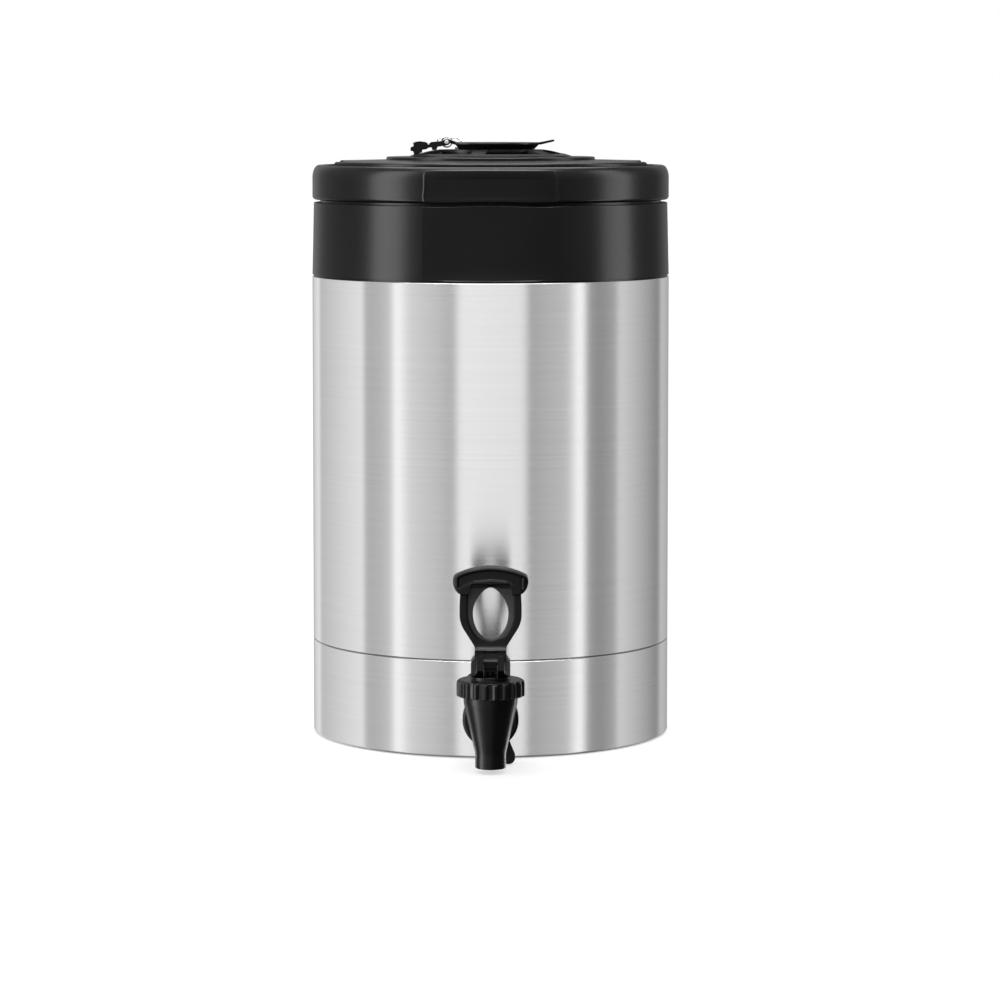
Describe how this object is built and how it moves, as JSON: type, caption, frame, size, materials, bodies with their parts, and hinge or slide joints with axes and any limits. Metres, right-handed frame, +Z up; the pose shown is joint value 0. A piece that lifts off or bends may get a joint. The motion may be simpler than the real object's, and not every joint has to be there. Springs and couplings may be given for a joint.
{
  "type": "coffee urn",
  "caption": "Round insulated steel coffee urn with a black collar, lift-off lid with a sprung pour-in cap, and a self-closing tap at its foot.",
  "frame": {"origin": "centre of the ring-shaped face that the urn stands on", "axes": "+Z up along the body's axis, the tap points to -Y, the hinge of the flip cap is on the -X side"},
  "size_m": [0.204, 0.2645, 0.3415],
  "materials": {
    "brushed_steel": "brushed round the body",
    "bare_steel": "bright",
    "black_plastic": "satin",
    "tap_plastic": "semi-gloss",
    "silicone": "matt, translucent white",
    "foam": "rigid foam",
    "rubber": "matt"
  },
  "bodies": {
    "urn": {"base_cup": "brushed_steel", "outer_shell": "brushed_steel", "bottom_plate": "black_plastic", "foot_ring": "rubber", "base_screws": "bare_steel", "liner_floor": "bare_steel", "liner": "bare_steel", "insulation": "foam", "collar": "black_plastic", "collar_seal": "silicone", "shank": "bare_steel", "shank_outer_seal": "silicone", "shank_inner_seal": "silicone", "shank_nut": "bare_steel", "faucet_body": "tap_plastic", "faucet_washer": "silicone", "stem_diaphragm": "silicone", "valve_spring": "bare_steel"},
    "bonnet": {"bonnet": "tap_plastic"},
    "wing_nut": {"wing_nut": "tap_plastic"},
    "stem": {"stem": "tap_plastic", "seat_cup": "silicone"},
    "handle": {"handle": "tap_plastic", "handle_pin": "bare_steel"},
    "lid": {"lid_rim": "black_plastic", "lid_crown": "black_plastic", "lid_base": "black_plastic", "lid_gasket": "silicone", "lid_foam": "foam", "lid_screws": "bare_steel", "brew_plate": "black_plastic", "brew_grille": "black_plastic", "brew_funnel": "black_plastic", "mixing_tube": "black_plastic", "hinge_bracket": "black_plastic", "bracket_screws": "bare_steel", "hinge_pin": "bare_steel"},
    "cap": {"flip_cap": "black_plastic", "cap_seal": "silicone", "cap_spring": "bare_steel"}
  },
  "joints": [
    {"name": "lid_lift", "type": "slide", "parent": "urn", "child": "lid", "axis": [0, 0, 1], "range_m": [0, 0.29]},
    {"name": "cap_flip", "type": "hinge", "parent": "lid", "child": "cap", "pos_m": [-0.025, 0, 0.3382], "axis": [0, -1, 0], "range_deg": [0, 110], "stiffness_Nm_per_rad": 0.02, "springref_deg": -22.92},
    {"name": "handle_pull", "type": "hinge", "parent": "stem", "child": "handle", "pos_m": [0, -0.144, 0.06], "axis": [1, 0, 0], "range_deg": [0, 50], "stiffness_Nm_per_rad": 0.25, "springref_deg": -17.19},
    {"name": "stem_lift", "type": "slide", "parent": "urn", "child": "stem", "axis": [0, 0, 1], "range_m": [0, 0.0051], "deforming": ["valve_spring"]},
    {"name": "bonnet_turn", "type": "hinge", "parent": "urn", "child": "bonnet", "pos_m": [0, -0.144, 0.045], "axis": [0, 0, 1], "range_deg": [0, 120]},
    {"name": "wing_nut_turn", "type": "hinge", "parent": "urn", "child": "wing_nut", "pos_m": [0, -0.117, 0.0249], "axis": [0, -1, 0], "range_deg": [0, 130]}
  ],
  "couplings": [
    {"joint": "stem_lift", "follows": "handle_pull", "m_per_rad": 0.00573}
  ]
}
